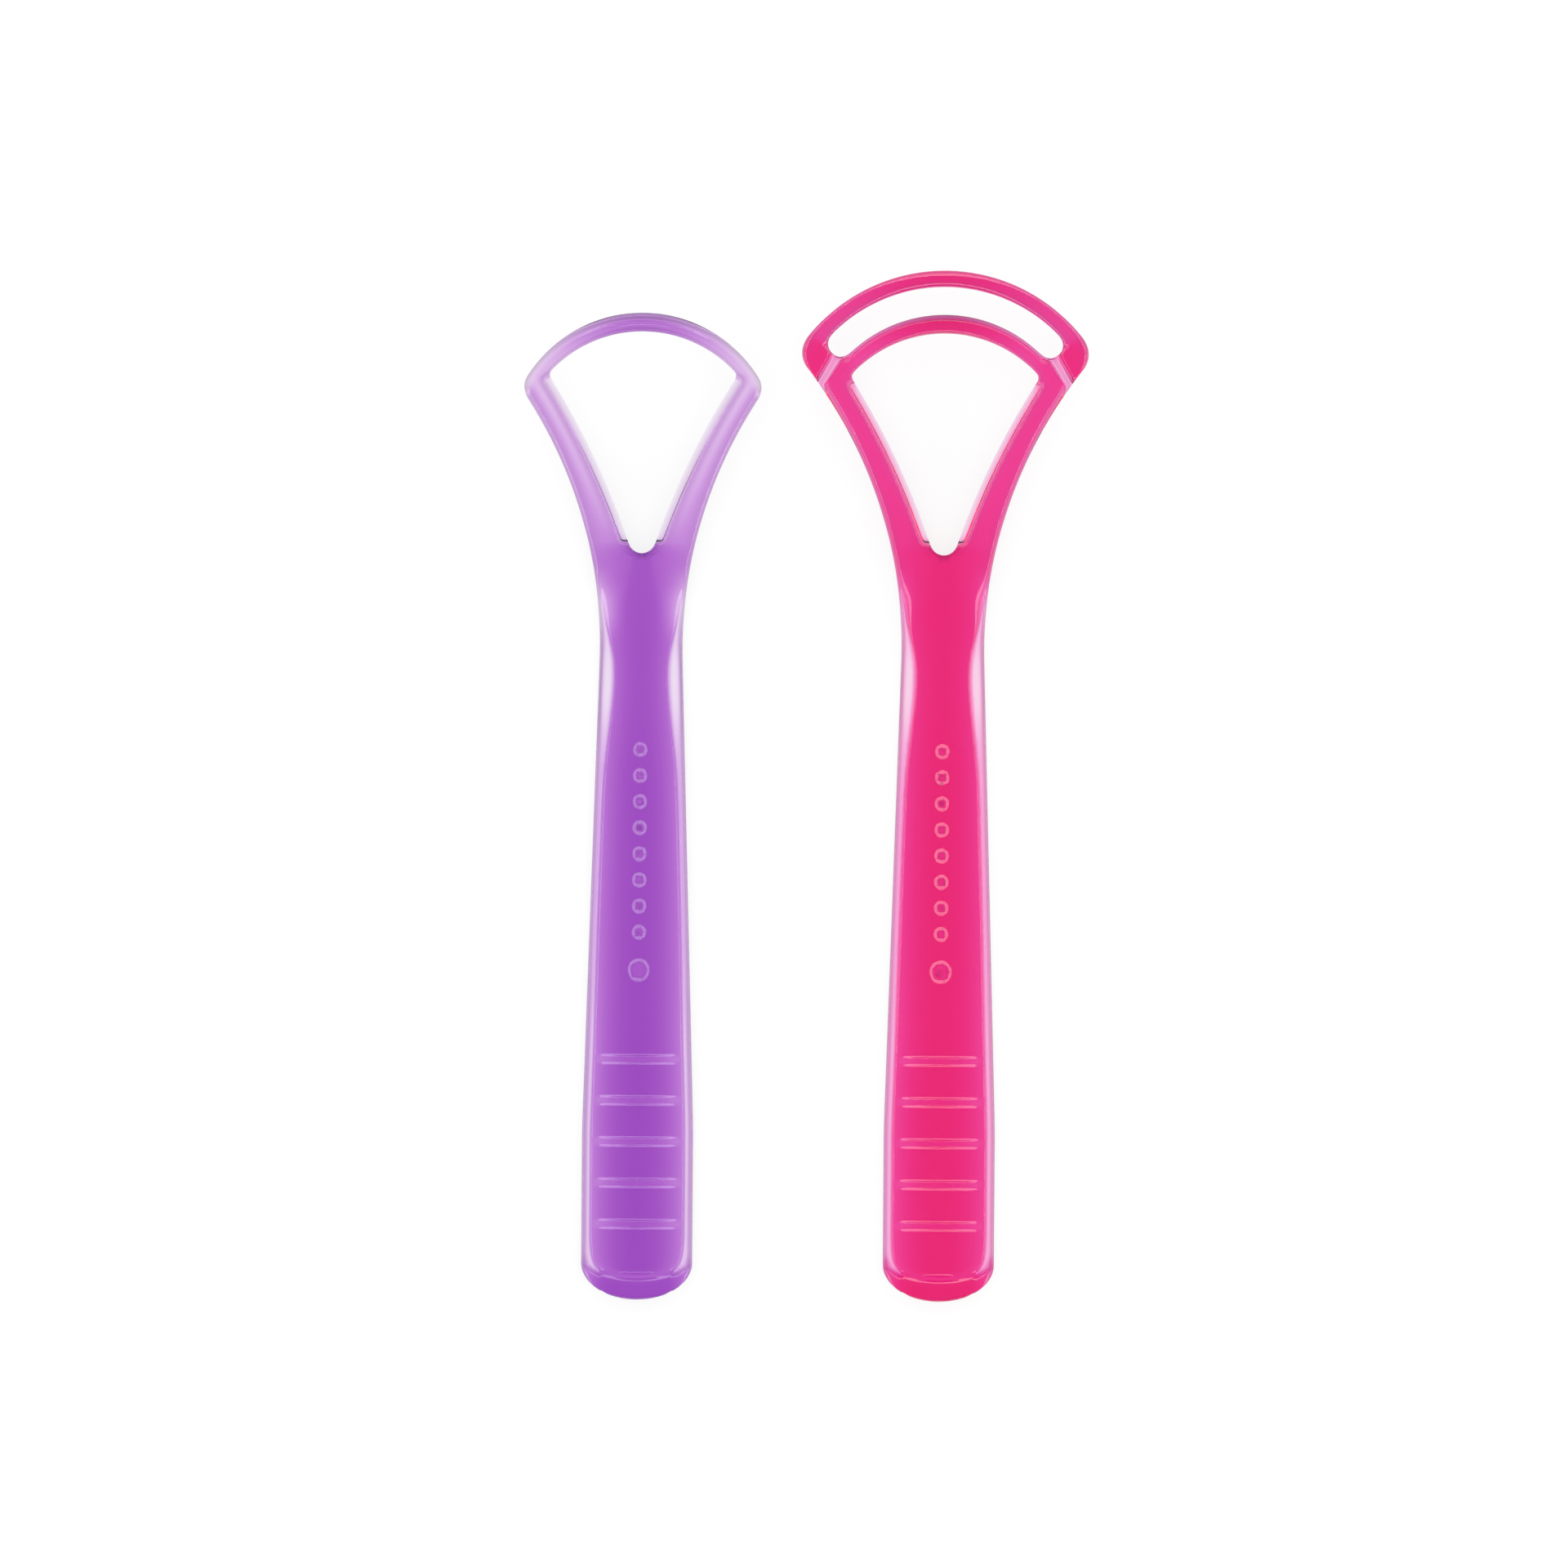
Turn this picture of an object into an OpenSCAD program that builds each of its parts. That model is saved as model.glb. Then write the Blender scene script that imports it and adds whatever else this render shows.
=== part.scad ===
// A pair of moulded tongue scrapers lying side by side on their backs.
// The left one has a single curved blade, the right one a second blade outside the first.
// Millimetres. +Y runs from the handle ends to the heads, +Z is up.
// Each scraper is drawn with the tip of its handle at zero and its centre line along Y.

/* [Handle] */
// Width of the handle over its flanges, near the end
handle_w = 16.2; // [14:0.1:18]
// Thickness of the handle on its centre line
handle_t = 4; // [3.7:0.1:5]
// How far the face curves down from its centre line to the side of the panel
crown_drop = 1.3; // [0.4:0.1:1.8]
// Thickness of the thin flange along each side
flange_t = 0.6; // [0.4:0.1:1.6]
// Width of the flange beside the panel
flange_w = 1.2; // [0.7:0.1:2]
// Length of the rounded end of the handle
end_round = 5.4; // [4.8:0.1:7]
// Length of the solid lip below the panel
lip_l = 3.8; // [2.5:0.1:4.6]
// Thickness of the lip
lip_t = 3.6; // [2.4:0.1:3.8]
// Length of the slope from the lip down to the flanges
lip_slope_l = 1.2; // [0.6:0.1:3]
// Corner radius of the panel
panel_corner_r = 3; // [1.5:0.1:3.6]
// Distance from the tip to where the handle starts to taper
taper_y = 25; // [18:0.5:40]
// Distance from the tip to the pinched waist
waist_y = 91; // [87:0.5:93]
// Width of the panel at the waist
waist_w = 7.9; // [6.5:0.1:9]
// Length of the pinch below the waist
pinch_low_l = 17; // [10:0.5:20]
// Length of the pinch above the waist
pinch_high_l = 9.9; // [7:0.1:12]

/* [Relief] */
// Depth of the sunk grip grooves and dots
relief_depth = 0.5; // [0.2:0.05:0.7]
// Number of grip grooves across the handle
grip_count = 5; // [2:1:5]
// Distance from the lip to the middle of the first grip groove
grip_gap = 7.2; // [6:0.1:10]
// Spacing of the grip grooves
grip_pitch = 6; // [4:0.1:6.5]
// Width of a grip groove
grip_w = 1; // [0.6:0.1:1.6]
// Number of small dots in the column
dot_count = 8; // [2:1:9]
// Distance from the middle of the top dot to the waist
dot_gap = 10.9; // [8:0.1:14]
// Spacing of the dots
dot_pitch = 3.8; // [3:0.1:4]
// Diameter of a dot
dot_d = 2.2; // [1.2:0.1:2.6]
// Diameter of the large dot below the column
big_dot_d = 3.4; // [2.4:0.1:4]

/* [Neck and arms] */
// Width of the neck where it starts to flare
neck_w = 12; // [11:0.1:12.6]
// Distance from the waist to the start of the flare and of the head's bend
neck_l = 4; // [1:0.1:6]
// Distance from there to the bottom of the window between the arms
fork_l = 13.6; // [11:0.1:16]
// Radius of the bottom of the window
crotch_r = 2; // [1.4:0.1:2.6]
// Thickness on the centre line at the bottom of the window
neck_t = 3.4; // [2.8:0.1:3.6]
// Drop from the arm's face to its outer edge
arm_edge_drop = 0.3; // [0.1:0.05:0.6]
// Width of the arm's lowered outer edge
arm_edge_w = 0.6; // [0.4:0.05:0.8]
// Width of the thin ledge along the inner edge of the arms
ledge_w = 1.2; // [0.6:0.1:1.8]
// Thickness of that ledge
ledge_t = 0.9; // [0.6:0.1:1.5]
// Upward bend of the head against the handle, in degrees
head_tilt = 8; // [1:0.5:12]
// Radius of that bend
bend_r = 60; // [40:1:80]

/* [Single head] */
// Thickness of the single head's arms
single_arm_t = 1.8; // [1.4:0.1:2.6]
// Length of the window on the centre line
window_l = 32.25; // [28:0.05:38]
// Radius of the blade's outer edge
blade_r = 19.9; // [18:0.1:22]
// Width of the blade at the crown
blade_w = 2.75; // [2.2:0.05:3.2]
// Width that the blade narrows to on the way down, level with its centre
blade_side_w = 1.5; // [1:0.05:2]
// Angle above the level at which the arms meet the blade's outer edge, in degrees
head_a = 26.7; // [22:0.1:30]
// Angle above the level at which the window has its top corners, in degrees
window_corner_a = 41.4; // [38:0.1:46]
// Radius of the bowed sides of the window
window_side_r = 112; // [80:1:300]
// Radius of the top corners of the window
window_corner_r = 1; // [0.5:0.1:1.6]
// Thickness of the blade's outer band
blade_t = 1.9; // [1:0.1:2.2]
// Thickness of the blade over its scraping ridge
ridge_t = 2.8; // [2.3:0.1:3.4]
// Width of the scraping ridge
ridge_w = 1.2; // [0.8:0.1:1.5]
// Radius of the outer corners of the single head
head_corner_r = 2.8; // [1.2:0.1:3.2]

/* [Double head] */
// Thickness of the double head's arms
double_arm_t = 2.4; // [1.8:0.1:3]
// Thickness of the shoulders that carry the outer blade
shoulder_t = 2.7; // [2:0.1:3.2]
// Gap between the two blades at the crown
gap_w = 4; // [3.2:0.1:5]
// Gap that they narrow to on the way down, level with the inner blade's centre
gap_side_w = 3.2; // [2.6:0.1:4]
// Width of the outer blade
outer_blade_w = 2.4; // [1.9:0.1:2.6]
// Angle above the level at which the gap between the blades ends, in degrees
gap_end_a = 44; // [42:0.5:48]
// Radius of the outer corners of the double head
outer_corner_r = 3.2; // [2:0.1:3.6]
// Width of the thin groove across each shoulder
groove_w = 1.5; // [0.8:0.1:1.8]
// Thickness left in the groove
groove_t = 1; // [0.7:0.1:1.5]

/* [Pair] */
// Gap between the two heads
pair_gap = 5.7; // [3:0.1:12]

/* [Hidden] */

purple = [0.62, 0.29, 0.75];
pink = [0.91, 0.15, 0.43];
round_fn = 160;
overrun = 1;

// Short runs of slope: from the flange up to the panel, and along the handle at a step
wall_run = 0.25;
step_run = 0.2;
// Height above the corner round at which a blade starts
blade_start_rise = 0.4;

// Shares of the handle's half width: its blunt tip, and the edge zone of the lip
tip_share = 0.25;
lip_edge_share = 0.3;
// Shares of the panel's half width at which its curved face is drawn
crown_shares = [0.8, 0.6, 0.4, 0.2];

// Distances from the tip
grip_first_y = lip_l + grip_gap;
dot_first_y = waist_y - dot_gap - (dot_count - 1) * dot_pitch;
merge_y = waist_y + pinch_high_l;
flare_y = waist_y + neck_l;
bend_end_y = flare_y + bend_r * sin(head_tilt);
crotch_y = flare_y + fork_l;
window_top_y = crotch_y + window_l;
double_len = window_top_y + blade_w + gap_w + outer_blade_w;

// Centre and size of each arc of the plan
blade_c = [0, window_top_y + blade_w - blade_r];
head_point = blade_c + blade_r * [cos(head_a), sin(head_a)];
arm_reach = head_point.x - neck_w / 2;
flare_r = (pow(arm_reach, 2) + pow(head_point.y - flare_y, 2)) / (2 * arm_reach);
flare_c = [neck_w / 2 + flare_r, flare_y];
window_top_r = blade_r - blade_side_w;
window_top_c = [0, window_top_y - window_top_r];
window_top_corner = window_top_c + window_top_r * [cos(window_corner_a), sin(window_corner_a)];
crotch_c = [0, crotch_y + crotch_r];
window_side_c = crossing(crotch_c, window_side_r + crotch_r, window_top_corner, window_side_r);
window_corner_c = crossing(window_side_c, window_side_r + window_corner_r,
                           window_top_c, window_top_r - window_corner_r);
head_corner_c = crossing(flare_c, flare_r + head_corner_r, blade_c, blade_r - head_corner_r);
outer_inner_r = blade_r + gap_side_w;
outer_blade_r = outer_inner_r + outer_blade_w;
outer_c = [0, blade_c.y + gap_w - gap_side_w];
outer_corner_c = crossing(flare_c, flare_r + outer_corner_r,
                          outer_c, outer_blade_r - outer_corner_r);

// The gap between the blades ends in a round that touches both of them
blades_apart = outer_c.y - blade_c.y;
blades_reach = outer_inner_r + blade_r;
gap_end_d = (pow(blades_reach, 2) - pow(blades_apart, 2))
            / (2 * (blades_reach + blades_apart * sin(gap_end_a)));
gap_end_c = outer_c + gap_end_d * [cos(gap_end_a), sin(gap_end_a)];
gap_end_r = outer_inner_r - gap_end_d;

// Where the single head's outer corners begin and end, the blades start and the ledge ends
corner_low_y = toward(flare_c, head_corner_c, flare_r).y;
corner_high_y = toward(blade_c, head_corner_c, blade_r).y;
blade_start_y = corner_high_y + blade_start_rise;
ledge_end_y = window_corner_c.y - ledge_w;

// Shape of the handle's end, waist and panel
tip_offset = end_round * (1 - leg(1, tip_share));
waist_inset = lower_half(waist_y) - waist_w / 2;

// Places of the two scrapers in the pair
single_half = head_corner_c.x + head_corner_r;
double_half = outer_corner_c.x + outer_corner_r;
pair_w = 2 * single_half + pair_gap + 2 * double_half;
single_x = single_half - pair_w / 2;
double_x = pair_w / 2 - double_half;
tip_y = -double_len / 2;

// The other short side of a right triangle
function leg(long, short) = sqrt(pow(long, 2) - pow(short, 2));

function blend(a, b, share) = a + (b - a) * share;

function clamp(share) = min(1, max(0, share));

// A bell that is 1 at zero and falls smoothly to zero at one
function bell(share) = (1 + cos(180 * clamp(abs(share)))) / 2;

// The crossing of two circles, on the right of the way from the first to the second
function crossing(c1, r1, c2, r2) =
    let (d = norm(c2 - c1), u = (c2 - c1) / d)
    let (a = (pow(r1, 2) - pow(r2, 2) + pow(d, 2)) / (2 * d))
    c1 + a * u + leg(r1, a) * [u.y, -u.x];

// The point at distance r from one centre, on the way to another point
function toward(from, to, r) = from + r * (to - from) / norm(to - from);

function heading(from, to) = atan2(to.y - from.y, to.x - from.x);

function arc(c, r, a0, a1, steps) =
    [for (i = [0:steps]) let (a = blend(a0, a1, i / steps)) c + r * [cos(a), sin(a)]];

function backwards(list) = [for (i = [len(list) - 1:-1:0]) list[i]];

// A closed outline from its right half, listed from the bottom up
function whole(half) = concat(half, [for (p = backwards(half)) [-p.x, p.y]]);

// Steps between two heights, the last one left out
function run(y0, y1, steps) = [for (i = [0:steps - 1]) blend(y0, y1, i / steps)];

// Half the width of the handle and flange, up to the start of the flare
function lower_half(y) =
    y < end_round - tip_offset
        ? handle_w / 2 * leg(1, 1 - (y + tip_offset) / end_round)
        : blend(handle_w / 2, neck_w / 2, clamp((y - taper_y) / (flare_y - taper_y)));

function flare_half(y) = flare_c.x - leg(flare_r, y - flare_y);

function blade_half(y) = leg(blade_r, y - blade_c.y);

// Half the width of the neck and arms: a sharp head runs on into its shoulders
function upper_half(y, sharp) =
    y < flare_y ? lower_half(y)
    : y < (sharp ? head_point.y : corner_low_y) ? flare_half(y)
    : sharp || y >= corner_high_y ? blade_half(y)
    : head_corner_c.x + leg(head_corner_r, y - head_corner_c.y);

// How far the panel's side lies inside the outline
function panel_inset(y) =
    y < lip_l ? min(flange_w, lip_edge_share * lower_half(y))
    : y < lip_l + panel_corner_r
        ? flange_w + panel_corner_r * (1 - leg(1, 1 - (y - lip_l) / panel_corner_r))
    : y < waist_y ? blend(flange_w, waist_inset, bell((waist_y - y) / pinch_low_l))
    : blend(arm_edge_w, waist_inset, bell((y - waist_y) / pinch_high_l));

// Thickness of the zone outside the panel: lip, flange, then the arm's edge
function edge_top(y, arm_t) =
    y < lip_l ? lip_t
    : y < waist_y ? blend(lip_t, flange_t, clamp((y - lip_l) / lip_slope_l))
    : blend(flange_t, arm_t - arm_edge_drop, 1 - bell((y - waist_y) / pinch_high_l));

// Thickness on the centre line
function centre_top(y, arm_t) =
    y < lip_l ? lip_t + crown_drop * pow(lip_edge_share, 2)
    : y < waist_y ? handle_t
    : y < crotch_y ? blend(handle_t, neck_t, (y - waist_y) / (crotch_y - waist_y))
    : blend(arm_t, neck_t, bell((y - crotch_y) / pinch_high_l));

// Height of the back above the table: the head bends up from the handle
function lift(y) =
    y < flare_y ? 0
    : y < bend_end_y ? bend_r - leg(bend_r, y - flare_y)
    : bend_r * (1 - cos(head_tilt)) + (y - bend_end_y) * tan(head_tilt);

function on_grip(y) =
    len([for (i = [0:grip_count - 1]) if (abs(y - grip_first_y - i * grip_pitch) <= grip_w / 2) i]) > 0;

// One slice across a scraper, from the middle of its back round to the right and over the face.
// The handle has no arms, so only the slices above the waist get their thickness.
function slice(y, half, arm_t = 0) =
    let (c = half - panel_inset(y), edge = edge_top(y, arm_t), top = centre_top(y, arm_t))
    let (low = y < waist_y ? edge : edge + arm_edge_drop)
    let (sink = on_grip(y) ? relief_depth : 0)
    let (foot = min(wall_run, (half - c) / 2))
    let (side = [[half, 0], [half, edge], [c + foot, edge], [c, max(low, top - crown_drop)]])
    let (crown = [for (s = crown_shares) [s * c, max(low, top - crown_drop * pow(s, 2)) - sink]])
    let (right = concat(side, crown))
    let (left = [for (p = backwards(right)) [-p.x, p.y]])
    [for (p = concat([[0, 0]], right, [[0, top - sink]], left)) [p.x, y, p.y + lift(y)]];

// Heights at which the handle is sliced
grip_ys = [for (i = [0:grip_count - 1], e = [-step_run, 0, grip_w, grip_w + step_run])
          grip_first_y + i * grip_pitch - grip_w / 2 + e];
lip_ys = [for (a = [9:9:81]) end_round * (1 - cos(a))];
handle_ys = concat(
    [0], [for (y = lip_ys) if (y - tip_offset > step_run && y < lip_l - step_run) y - tip_offset],
    [lip_l - step_run / 2, lip_l],
    [for (a = [15:15:90]) lip_l + panel_corner_r * (1 - cos(a))],
    grip_ys,
    run(grip_first_y + grip_count * grip_pitch, waist_y - pinch_low_l, 2),
    run(waist_y - pinch_low_l, waist_y, 8), [waist_y]);

function yoke_ys(sharp) = concat(
    run(waist_y, merge_y, 8),
    run(merge_y, crotch_y, 5),
    run(crotch_y, sharp ? head_point.y : corner_low_y, 12),
    sharp ? run(head_point.y, blade_start_y, 4)
          : [for (a = [-30:15:15]) head_corner_c.y + head_corner_r * sin(a)],
    [blade_start_y]);

// Outline of the window between the arms, grown outwards by a margin
function window_outline(grow) =
    let (to_side = heading(crotch_c, window_side_c), to_crotch = to_side + 180)
    let (from_side = heading(window_side_c, window_corner_c))
    let (to_top = heading(window_top_c, window_corner_c))
    whole(concat(
        arc(crotch_c, crotch_r + grow, -90, to_side, 6),
        arc(window_side_c, window_side_r - grow, to_crotch, from_side, 10),
        arc(window_corner_c, window_corner_r + grow, from_side - 180, to_top, 5),
        arc(window_top_c, window_top_r + grow, to_top, 90, 16)));

// A solid skinned over slices that all have the same number of points
module skin(slices) {
    n = len(slices[0]);
    last = n * (len(slices) - 1);
    sides = [for (j = [0:len(slices) - 2], i = [0:n - 1])
             let (a = j * n + i, b = j * n + (i + 1) % n)
             each [[a, b, b + n], [a, b + n, a + n]]];
    near = concat([0], [for (i = [n - 1:-1:1]) i]);
    far = [for (i = [0:n - 1]) last + i];
    polyhedron([for (s = slices) each s], concat(sides, [near, far]));
}

// A prism along Z that is taller than the part
module tower() {
    translate([0, 0, -overrun]) linear_extrude(lift(double_len) + handle_t + 2 * overrun) children();
}

// A sheet that follows the bent back, between two heights above it
module sheet(low, high) {
    ys = concat([waist_y], run(flare_y, bend_end_y, 10), [bend_end_y, double_len + overrun]);
    rotate([90, 0, 90])
        linear_extrude(2 * outer_blade_r, center = true)
            polygon(concat([for (y = ys) [y, lift(y) + low]],
                           [for (y = backwards(ys)) [y, lift(y) + high]]));
}

// Everything beyond a height along the scraper, in plan
module beyond(y) {
    translate([-outer_blade_r, y]) square([2 * outer_blade_r, double_len]);
}

module disc(c, r) {
    translate(c) circle(r, $fn = round_fn);
}

module dots() {
    for (i = [0:dot_count - 1])
        translate([0, dot_first_y + i * dot_pitch, handle_t - relief_depth])
            cylinder(d = dot_d, h = relief_depth + overrun, $fn = 32);
    translate([0, dot_first_y - dot_pitch - big_dot_d / 2, handle_t - relief_depth])
        cylinder(d = big_dot_d, h = relief_depth + overrun, $fn = 48);
}

// Handle up to the waist, with its lip, panel and flanges, and the grooves and dots sunk in it
module handle() {
    difference() {
        skin([for (y = handle_ys) slice(y, lower_half(y))]);
        dots();
    }
}

// Neck and arms from the waist to the start of the blade
module yoke(sharp, arm_t) {
    difference() {
        skin([for (y = yoke_ys(sharp)) slice(y, upper_half(y, sharp), arm_t)]);
        tower() polygon(window_outline(0));
        intersection() {
            sheet(ledge_t, handle_t + overrun);
            tower() intersection() {
                polygon(window_outline(ledge_w));
                difference() {
                    beyond(crotch_c.y);
                    beyond(ledge_end_y);
                }
            }
        }
    }
}

// Blade between the arms, with its scraping ridge along the window
module blade() {
    difference() {
        intersection() {
            sheet(0, ridge_t);
            tower() difference() {
                intersection() {
                    disc(blade_c, blade_r);
                    beyond(blade_start_y);
                }
                polygon(window_outline(0));
            }
        }
        difference() {
            sheet(blade_t, ridge_t + overrun);
            tower() polygon(window_outline(ridge_w));
        }
    }
}

// The sector of the head beyond the ends of the gap between the blades
module gap_sector() {
    far = 2 * outer_blade_r;
    translate(outer_c)
        polygon([[0, 0], far * [cos(gap_end_a), sin(gap_end_a)],
                 [0, 2 * far], far * [-cos(gap_end_a), sin(gap_end_a)]]);
}

// Outer blade of the double head, with its ridge along its inner edge
module outer_blade() {
    difference() {
        intersection() {
            sheet(0, ridge_t);
            tower() intersection() {
                difference() {
                    disc(outer_c, outer_blade_r);
                    disc(outer_c, outer_inner_r);
                }
                gap_sector();
            }
        }
        difference() {
            sheet(blade_t, ridge_t + overrun);
            tower() disc(outer_c, outer_inner_r + ridge_w);
        }
    }
}

// Right shoulder of the double head in plan, before the blade and the gap are cut from it
function shoulder_outline() =
    let (deep = toward(blade_c, gap_end_c, blade_r - groove_w))
    concat(
        arc(flare_c, flare_r, heading(flare_c, head_point),
            heading(flare_c, outer_corner_c), 6),
        arc(outer_corner_c, outer_corner_r, heading(outer_corner_c, flare_c),
            heading(outer_c, outer_corner_c), 10),
        arc(outer_c, outer_blade_r, heading(outer_c, outer_corner_c), gap_end_a, 3),
        [deep]);

// Shoulders that carry the outer blade beside the inner one
module shoulders() {
    for (side = [0, 1])
        mirror([side, 0, 0])
            difference() {
                intersection() {
                    sheet(0, shoulder_t);
                    tower() difference() {
                        polygon(shoulder_outline());
                        disc(blade_c, blade_r);
                        disc(gap_end_c, gap_end_r);
                    }
                }
                intersection() {
                    sheet(groove_t, shoulder_t + overrun);
                    tower() disc(blade_c, blade_r + groove_w);
                }
            }
}

module single_place() {
    color(purple) translate([single_x, tip_y, 0]) children();
}

module double_place() {
    color(pink) translate([double_x, tip_y, 0]) children();
}

module single_handle() { single_place() handle(); }
module single_yoke() { single_place() yoke(false, single_arm_t); }
module single_blade() { single_place() blade(); }
module double_handle() { double_place() handle(); }
module double_yoke() { double_place() yoke(true, double_arm_t); }
module double_inner_blade() { double_place() blade(); }
module double_shoulders() { double_place() shoulders(); }
module double_outer_blade() { double_place() outer_blade(); }

single_handle();
single_yoke();
single_blade();
double_handle();
double_yoke();
double_inner_blade();
double_shoulders();
double_outer_blade();
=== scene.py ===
"""Two moulded tongue scrapers of clear tinted plastic, side by side on a pale floor."""
import math
import bmesh
import bpy
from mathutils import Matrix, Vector


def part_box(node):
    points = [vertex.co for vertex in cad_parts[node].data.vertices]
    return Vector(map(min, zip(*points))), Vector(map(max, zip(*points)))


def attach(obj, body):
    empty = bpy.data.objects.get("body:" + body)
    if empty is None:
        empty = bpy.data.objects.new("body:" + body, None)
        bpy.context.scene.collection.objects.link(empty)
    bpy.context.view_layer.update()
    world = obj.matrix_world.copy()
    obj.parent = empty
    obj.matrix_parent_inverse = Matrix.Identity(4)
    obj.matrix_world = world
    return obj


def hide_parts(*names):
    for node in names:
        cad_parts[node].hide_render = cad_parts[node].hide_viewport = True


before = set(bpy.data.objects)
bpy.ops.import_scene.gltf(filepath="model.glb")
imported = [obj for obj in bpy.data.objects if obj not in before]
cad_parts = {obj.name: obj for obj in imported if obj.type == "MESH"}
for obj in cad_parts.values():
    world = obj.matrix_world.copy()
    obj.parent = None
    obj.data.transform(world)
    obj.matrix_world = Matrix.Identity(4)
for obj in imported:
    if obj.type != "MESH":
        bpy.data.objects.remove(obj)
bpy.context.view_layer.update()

bl_info = {
    "name": "Tongue scrapers",
    "version": (1, 0, 0),
    "blender": (4, 5, 0),
    "location": "3D View > Sidebar > Scrapers",
    "description": "Models two tongue scrapers and their studio stage",
    "category": "Object",
}

MM = 0.001
SINGLE_BODY = "single_blade_scraper"
DOUBLE_BODY = "double_blade_scraper"
SINGLE_LOW, SINGLE_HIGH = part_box("single_handle")
DOUBLE_LOW, DOUBLE_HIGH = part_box("double_handle")
# How much of the frame's thickness the middle of each visible handle has
SINGLE_PANEL_SHARE = 0.9
DOUBLE_PANEL_SHARE = 0.875

# Plan of a scraper, in millimetres from the tip of its handle


def blend(a, b, share):
    """The value at a share of the way from one number to another."""
    return a + (b - a) * share


def clamp(share):
    """A share kept between 0 and 1."""
    return min(1.0, max(0.0, share))


def bell(share):
    """1 at zero, falling smoothly to zero at one."""
    return (1 + math.cos(math.pi * clamp(abs(share)))) / 2


def leg(long_side, short_side):
    """The other short side of a right-angled triangle."""
    return math.sqrt(long_side ** 2 - short_side ** 2)


def crossing(c1, r1, c2, r2):
    """Where two circles cross, on the right of the way from the first centre to the second."""
    way = c2 - c1
    unit = way.normalized()
    along = (r1 ** 2 - r2 ** 2 + way.length ** 2) / (2 * way.length)
    return c1 + along * unit + leg(r1, along) * Vector((unit.y, -unit.x))


def on_circle(centre, radius, degrees):
    """A point of a circle, its angle counted from the right."""
    a = math.radians(degrees)
    return centre + radius * Vector((math.cos(a), math.sin(a)))


def heading(start, end):
    """Angle in degrees of the way from one point to another."""
    return math.degrees(math.atan2(end.y - start.y, end.x - start.x))


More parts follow.
